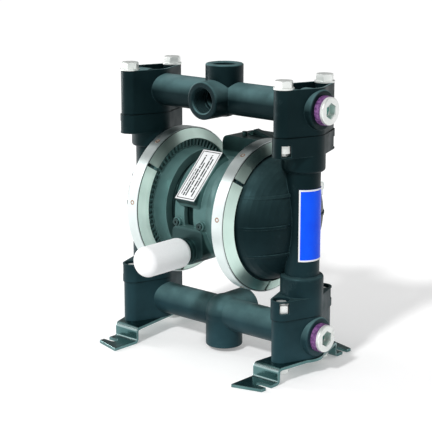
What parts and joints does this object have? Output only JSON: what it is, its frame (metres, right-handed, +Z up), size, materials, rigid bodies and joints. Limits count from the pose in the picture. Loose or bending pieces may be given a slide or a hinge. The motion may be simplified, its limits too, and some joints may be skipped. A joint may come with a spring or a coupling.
{
  "type": "air-operated double diaphragm pump",
  "caption": "Air-operated double diaphragm pump with two manifolds, domed fluid covers, V-band clamps, ball check valves, rear air valve, exhaust muffler and strip feet.",
  "frame": {"origin": "on the floor, at the middle of the pattern of the four feet, below the middle of the pump", "axes": "+X along the manifolds, -Y towards the muffler, +Z up"},
  "size_m": [0.2656, 0.2083, 0.296],
  "materials": {
    "black_acetal": "moulded carbon-filled plastic, satin, with a cool blue-grey sheen",
    "grey_housing": "moulded glass-filled plastic, satin, blue-green grey",
    "rubber_seal": "black rubber",
    "diaphragm_rubber": "black fabric-reinforced rubber",
    "zinc_steel": "bright zinc-plated steel",
    "stainless_strap": "bright rolled stainless strip",
    "stainless_segment": "pressed stainless sheet, softly brushed",
    "ground_steel": "ground stainless steel",
    "bearing_plastic": "natural bearing plastic",
    "plate_alloy": "machined aluminium",
    "white_ptfe": "white solid plastic",
    "purple_sealant": "dried thread sealant",
    "black_bracket": "black coated steel strip",
    "white_muffler": "white porous plastic",
    "dark_screw": "dark coated screws",
    "white_label": "white film with plain grey bars",
    "blue_label": "royal blue film with a white border"
  },
  "bodies": {
    "root": {"outlet_manifold": "black_acetal", "inlet_manifold": "black_acetal", "fluid_cover_left": "black_acetal", "fluid_cover_right": "black_acetal", "center_housing": "grey_housing", "air_valve_gasket": "rubber_seal", "air_valve_cover": "grey_housing", "air_valve_screws": "zinc_steel", "valve_plate": "bearing_plastic", "shaft_bearings": "bearing_plastic", "shaft_seals": "rubber_seal", "diaphragm_left": "diaphragm_rubber", "diaphragm_right": "diaphragm_rubber", "inlet_seats": "ground_steel", "outlet_seats": "ground_steel", "inlet_seals": "rubber_seal", "outlet_seals": "rubber_seal", "clamp_strap_left": "stainless_strap", "clamp_strap_right": "stainless_strap", "clamp_segments_left": "stainless_segment", "clamp_segments_right": "stainless_segment", "clamp_bolts": "zinc_steel", "clamp_trunnions": "zinc_steel", "clamp_nuts": "zinc_steel", "outlet_bolts": "zinc_steel", "outlet_washers": "zinc_steel", "outlet_nuts": "zinc_steel", "inlet_bolts": "zinc_steel", "inlet_washers": "zinc_steel", "inlet_nuts": "zinc_steel", "outlet_plugs": "zinc_steel", "inlet_plugs": "zinc_steel", "plug_sealant": "purple_sealant", "foot_bracket_left": "black_bracket", "foot_bracket_right": "black_bracket", "muffler": "white_muffler", "exhaust_screws": "dark_screw", "boss_label": "white_label", "cover_badge": "blue_label"},
    "shaft_group": {"diaphragm_shaft": "ground_steel", "air_side_plates": "plate_alloy", "fluid_side_plates": "plate_alloy", "shaft_screws": "zinc_steel"},
    "pilot_left": {"pilot_pin_left": "ground_steel"},
    "pilot_right": {"pilot_pin_right": "ground_steel"},
    "valve_slider": {"valve_carriage": "bearing_plastic", "valve_pistons": "ground_steel"},
    "ball_inlet_left": {"inlet_ball_left": "white_ptfe"},
    "ball_inlet_right": {"inlet_ball_right": "white_ptfe"},
    "ball_outlet_left": {"outlet_ball_left": "white_ptfe"},
    "ball_outlet_right": {"outlet_ball_right": "white_ptfe"}
  },
  "joints": [
    {"name": "shaft_slide", "type": "slide", "parent": "root", "child": "shaft_group", "axis": [1, 0, 0], "range_m": [-0.006, 0.006], "deforming": ["diaphragm_left", "diaphragm_right"]},
    {"name": "pilot_left_slide", "type": "slide", "parent": "root", "child": "pilot_left", "axis": [1, 0, 0], "range_m": [0, 0.004]},
    {"name": "pilot_right_slide", "type": "slide", "parent": "root", "child": "pilot_right", "axis": [-1, 0, 0], "range_m": [0, 0.004]},
    {"name": "valve_slide", "type": "slide", "parent": "root", "child": "valve_slider", "axis": [1, 0, 0], "range_m": [-0.004, 0.004]},
    {"name": "inlet_ball_left_lift", "type": "slide", "parent": "root", "child": "ball_inlet_left", "axis": [0, 0, 1], "range_m": [0, 0.009]},
    {"name": "inlet_ball_right_lift", "type": "slide", "parent": "root", "child": "ball_inlet_right", "axis": [0, 0, 1], "range_m": [0, 0.009]},
    {"name": "outlet_ball_left_lift", "type": "slide", "parent": "root", "child": "ball_outlet_left", "axis": [0, 0, 1], "range_m": [0, 0.009]},
    {"name": "outlet_ball_right_lift", "type": "slide", "parent": "root", "child": "ball_outlet_right", "axis": [0, 0, 1], "range_m": [0, 0.009]}
  ]
}
